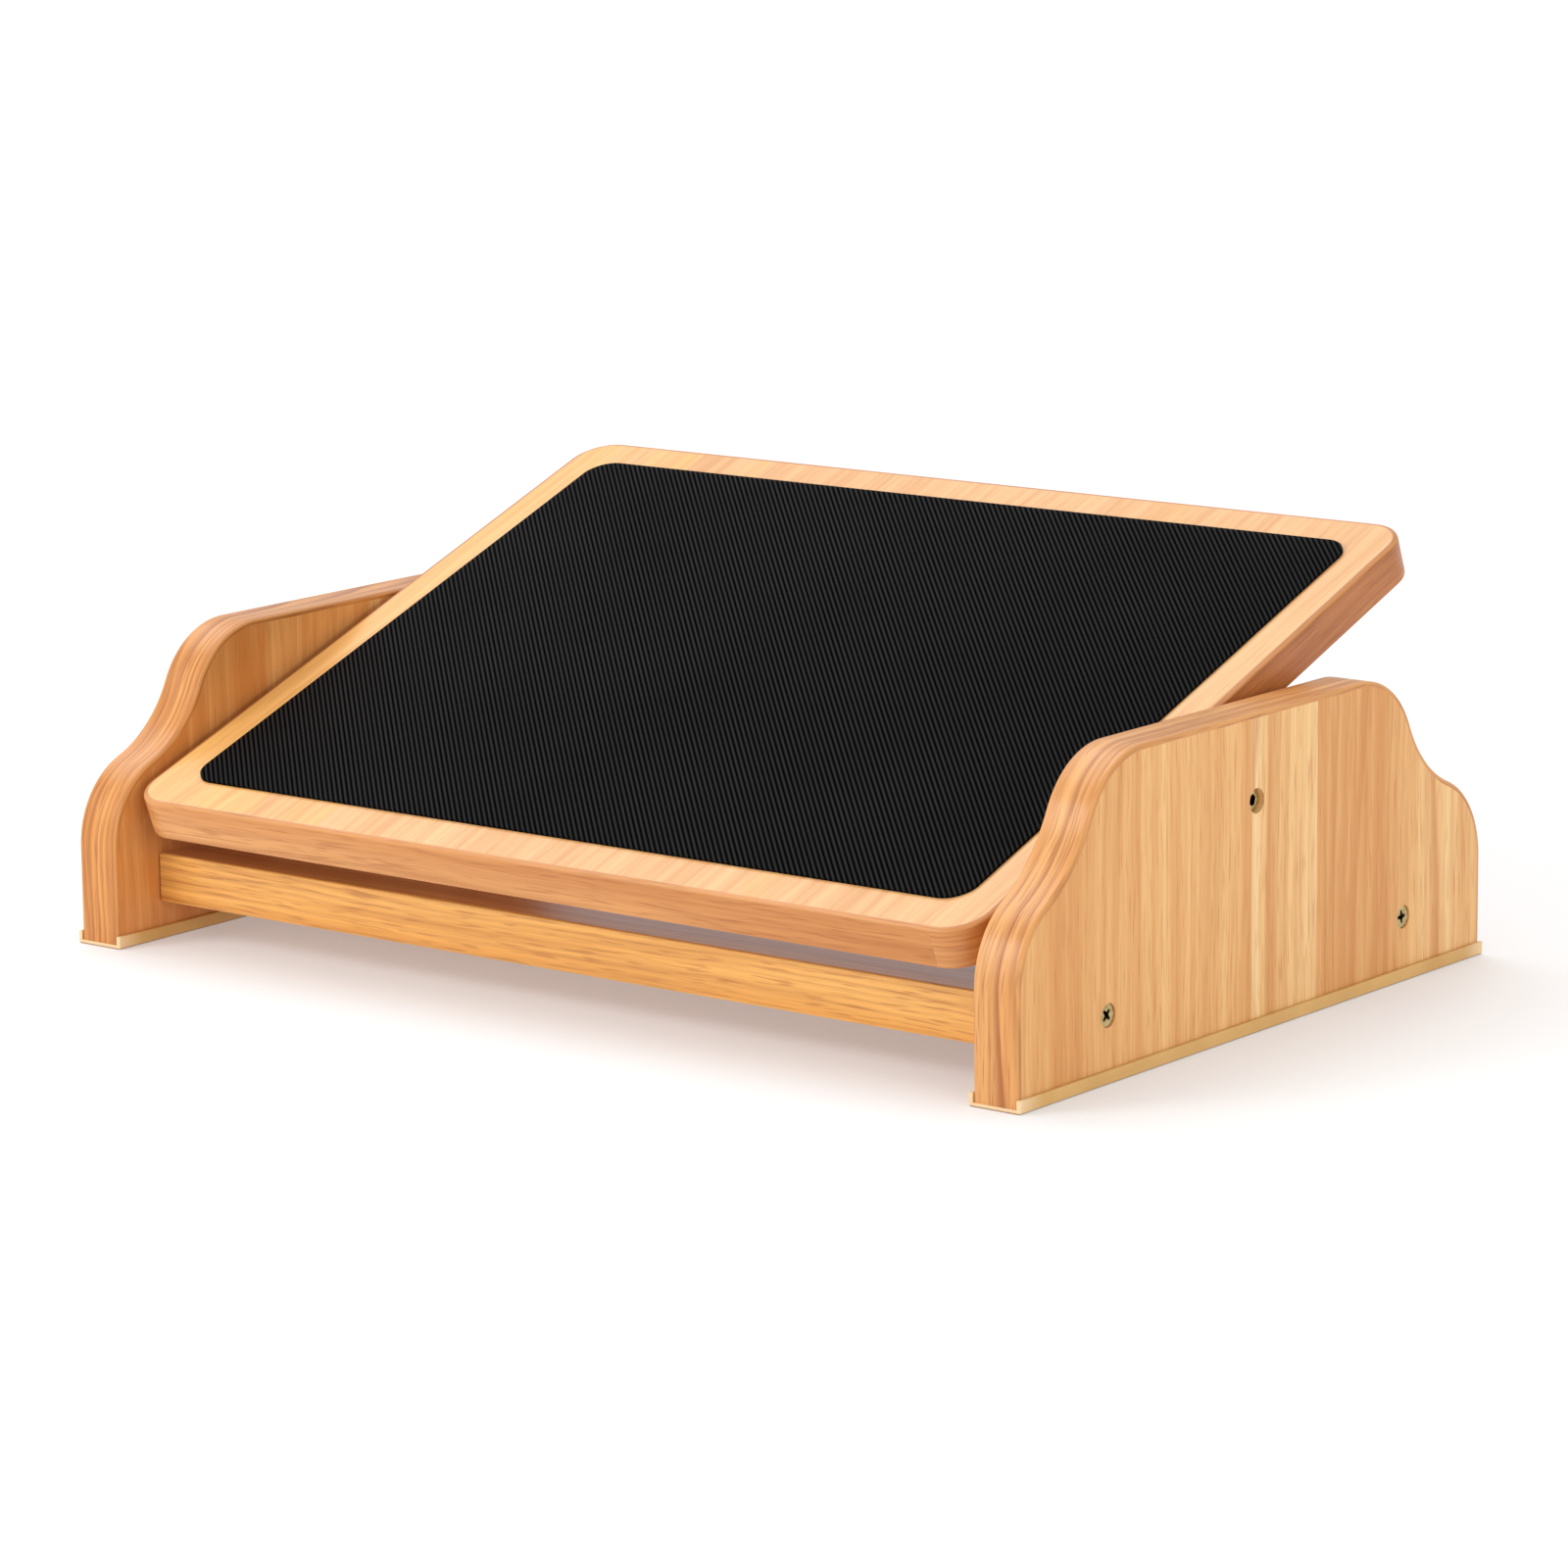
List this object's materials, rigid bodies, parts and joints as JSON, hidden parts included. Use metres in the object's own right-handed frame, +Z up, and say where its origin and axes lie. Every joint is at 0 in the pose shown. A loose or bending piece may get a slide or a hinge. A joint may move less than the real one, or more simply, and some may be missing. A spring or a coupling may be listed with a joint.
{
  "type": "slant board",
  "caption": "Wooden slant board: a rubber-faced tread board pivots between two shaped side panels tied by front and rear rails, and friction holds its tilt.",
  "frame": {"origin": "on the floor, at the centre of the footprint", "axes": "+X to the right, along the pivot axis; +Y to the rear, the raised edge; +Z up"},
  "size_m": [0.449, 0.298, 0.1635],
  "materials": {
    "panel_board": "satin lacquered honey wood foil, grain upright",
    "panel_edge": "satin lacquered edge band, grain along the edge",
    "foot_strip": "smooth translucent amber non-slip strip",
    "rail_board": "satin lacquered honey wood foil, grain crosswise",
    "rail_edge": "satin lacquered edge band, grain crosswise",
    "batten_board": "satin lacquered honey wood foil, grain crosswise",
    "tread_board": "satin lacquered pale wood foil, grain front to rear",
    "tread_edge": "satin lacquered edge band, grain along the edge",
    "mat": "black diagonally ribbed rubber",
    "screw": "yellow passivated steel, satin",
    "bolt": "yellow passivated steel, satin",
    "bush": "plain brass",
    "washer": "natural nylon",
    "dowel": "bare beech"
  },
  "bodies": {
    "base": {"right_side_panel": "panel_board", "left_side_panel": "panel_board", "right_panel_edge_band": "panel_edge", "left_panel_edge_band": "panel_edge", "right_foot_strip": "foot_strip", "left_foot_strip": "foot_strip", "front_rail": "rail_board", "rear_rail": "rail_board", "front_rail_edge_bands": "rail_edge", "rear_rail_edge_bands": "rail_edge", "front_right_screw": "screw", "front_left_screw": "screw", "rear_right_screw": "screw", "rear_left_screw": "screw", "front_rail_dowels": "dowel", "rear_rail_dowels": "dowel", "right_pivot_bush": "bush", "left_pivot_bush": "bush", "right_spacer_washer": "washer", "left_spacer_washer": "washer"},
    "platform": {"platform_board": "tread_board", "platform_edge_band": "tread_edge", "tread_mat": "mat", "pivot_batten": "batten_board", "batten_edge_bands": "rail_edge", "batten_screws": "screw", "right_pivot_bolt": "bolt", "left_pivot_bolt": "bolt", "right_threaded_insert": "bush", "left_threaded_insert": "bush"}
  },
  "joints": [
    {"name": "platform_tilt", "type": "hinge", "parent": "base", "child": "platform", "pos_m": [0, -0.003, 0.0848], "axis": [1, 0, 0], "range_deg": [-45, 5.5]}
  ]
}
